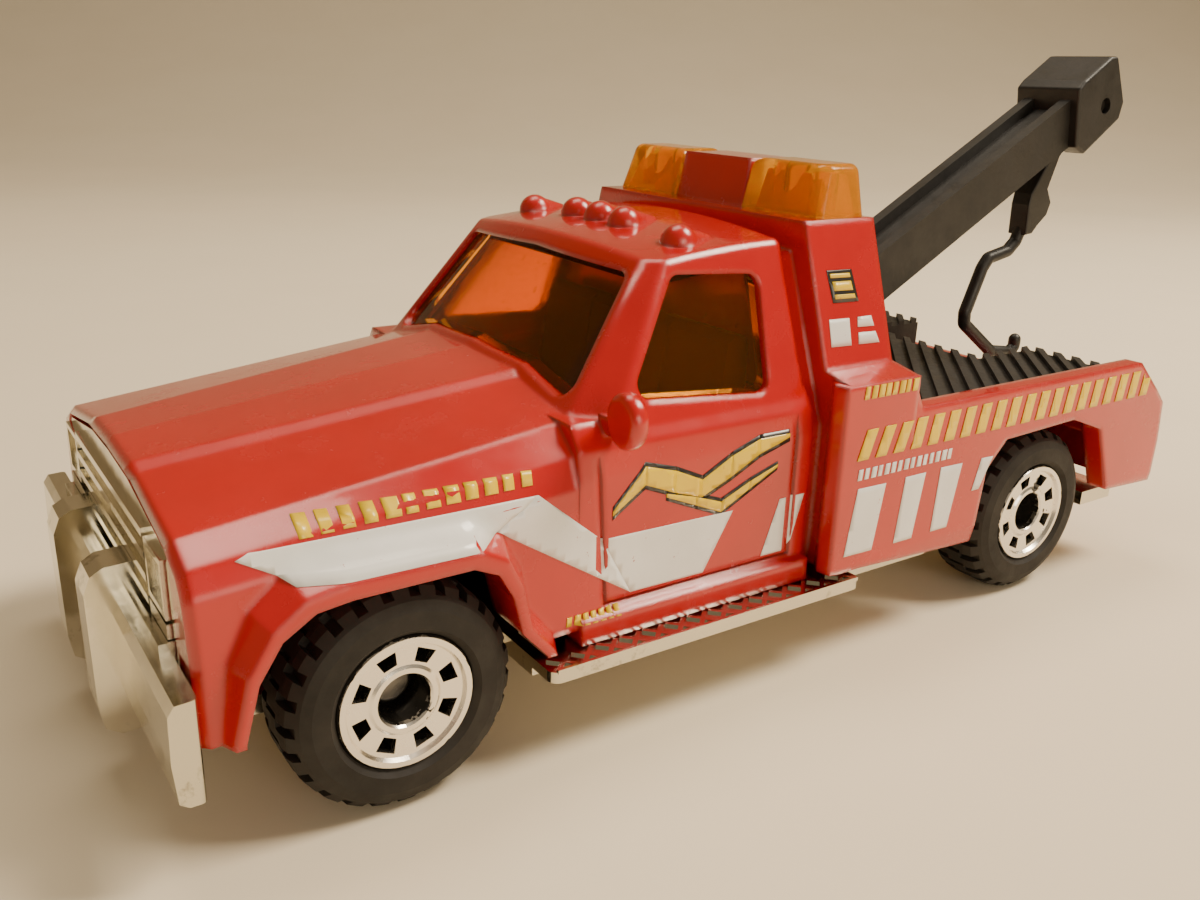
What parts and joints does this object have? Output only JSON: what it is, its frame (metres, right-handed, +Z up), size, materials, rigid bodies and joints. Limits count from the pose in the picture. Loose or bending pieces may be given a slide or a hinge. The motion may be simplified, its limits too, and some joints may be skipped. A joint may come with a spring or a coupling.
{
  "type": "toy tow truck",
  "caption": "Pocket-size toy tow truck: cast red cab and bed body, chrome base with push bumper, amber light bar, free-rolling wheels and a tilting boom with hook",
  "frame": {"origin": "on the ground under the middle of the overall bounding box", "axes": "+X to the truck's left side, +Y toward the rear, +Z up; the front bumper is at -Y"},
  "size_m": [0.0311, 0.0798, 0.0358],
  "materials": {
    "red_paint": "gloss",
    "amber_glazing": "gloss",
    "amber_lens": "gloss",
    "interior_black": "satin",
    "bed_black": "satin",
    "boom_black": "satin",
    "hook_black": "satin",
    "chrome_plate": "polished",
    "axle_steel": "brushed",
    "tyre_black": "matte",
    "hub_foil": "gloss"
  },
  "bodies": {
    "truck": {"body_shell": "red_paint", "cab_glazing": "amber_glazing", "light_lens_left": "amber_lens", "light_lens_right": "amber_lens", "cab_interior": "interior_black", "bed_insert": "bed_black", "chrome_base": "chrome_plate", "front_axle": "axle_steel", "rear_axle": "axle_steel"},
    "boom": {"boom": "boom_black"},
    "hook": {"tow_hook": "hook_black"},
    "wheel_front_left": {"tyre_front_left": "tyre_black", "wheel_hub_front_left": "hub_foil"},
    "wheel_front_right": {"tyre_front_right": "tyre_black", "wheel_hub_front_right": "hub_foil"},
    "wheel_rear_left": {"tyre_rear_left": "tyre_black", "wheel_hub_rear_left": "hub_foil"},
    "wheel_rear_right": {"tyre_rear_right": "tyre_black", "wheel_hub_rear_right": "hub_foil"}
  },
  "joints": [
    {"name": "wheel_front_left_spin", "type": "hinge", "parent": "truck", "child": "wheel_front_left", "pos_m": [0.0124, -0.0282, 0.0057], "axis": [1, 0, 0], "continuous": true},
    {"name": "wheel_front_right_spin", "type": "hinge", "parent": "truck", "child": "wheel_front_right", "pos_m": [-0.0124, -0.0282, 0.0057], "axis": [1, 0, 0], "continuous": true},
    {"name": "wheel_rear_left_spin", "type": "hinge", "parent": "truck", "child": "wheel_rear_left", "pos_m": [0.0124, 0.0181, 0.0057], "axis": [1, 0, 0], "continuous": true},
    {"name": "wheel_rear_right_spin", "type": "hinge", "parent": "truck", "child": "wheel_rear_right", "pos_m": [-0.0124, 0.0181, 0.0057], "axis": [1, 0, 0], "continuous": true},
    {"name": "boom_tilt", "type": "hinge", "parent": "truck", "child": "boom", "pos_m": [0, 0.008, 0.01645], "axis": [1, 0, 0], "range_deg": [0, 30]},
    {"name": "hook_swing", "type": "hinge", "parent": "boom", "child": "hook", "pos_m": [0, 0.0374, 0.0321], "axis": [1, 0, 0], "range_deg": [-6, 60]}
  ]
}
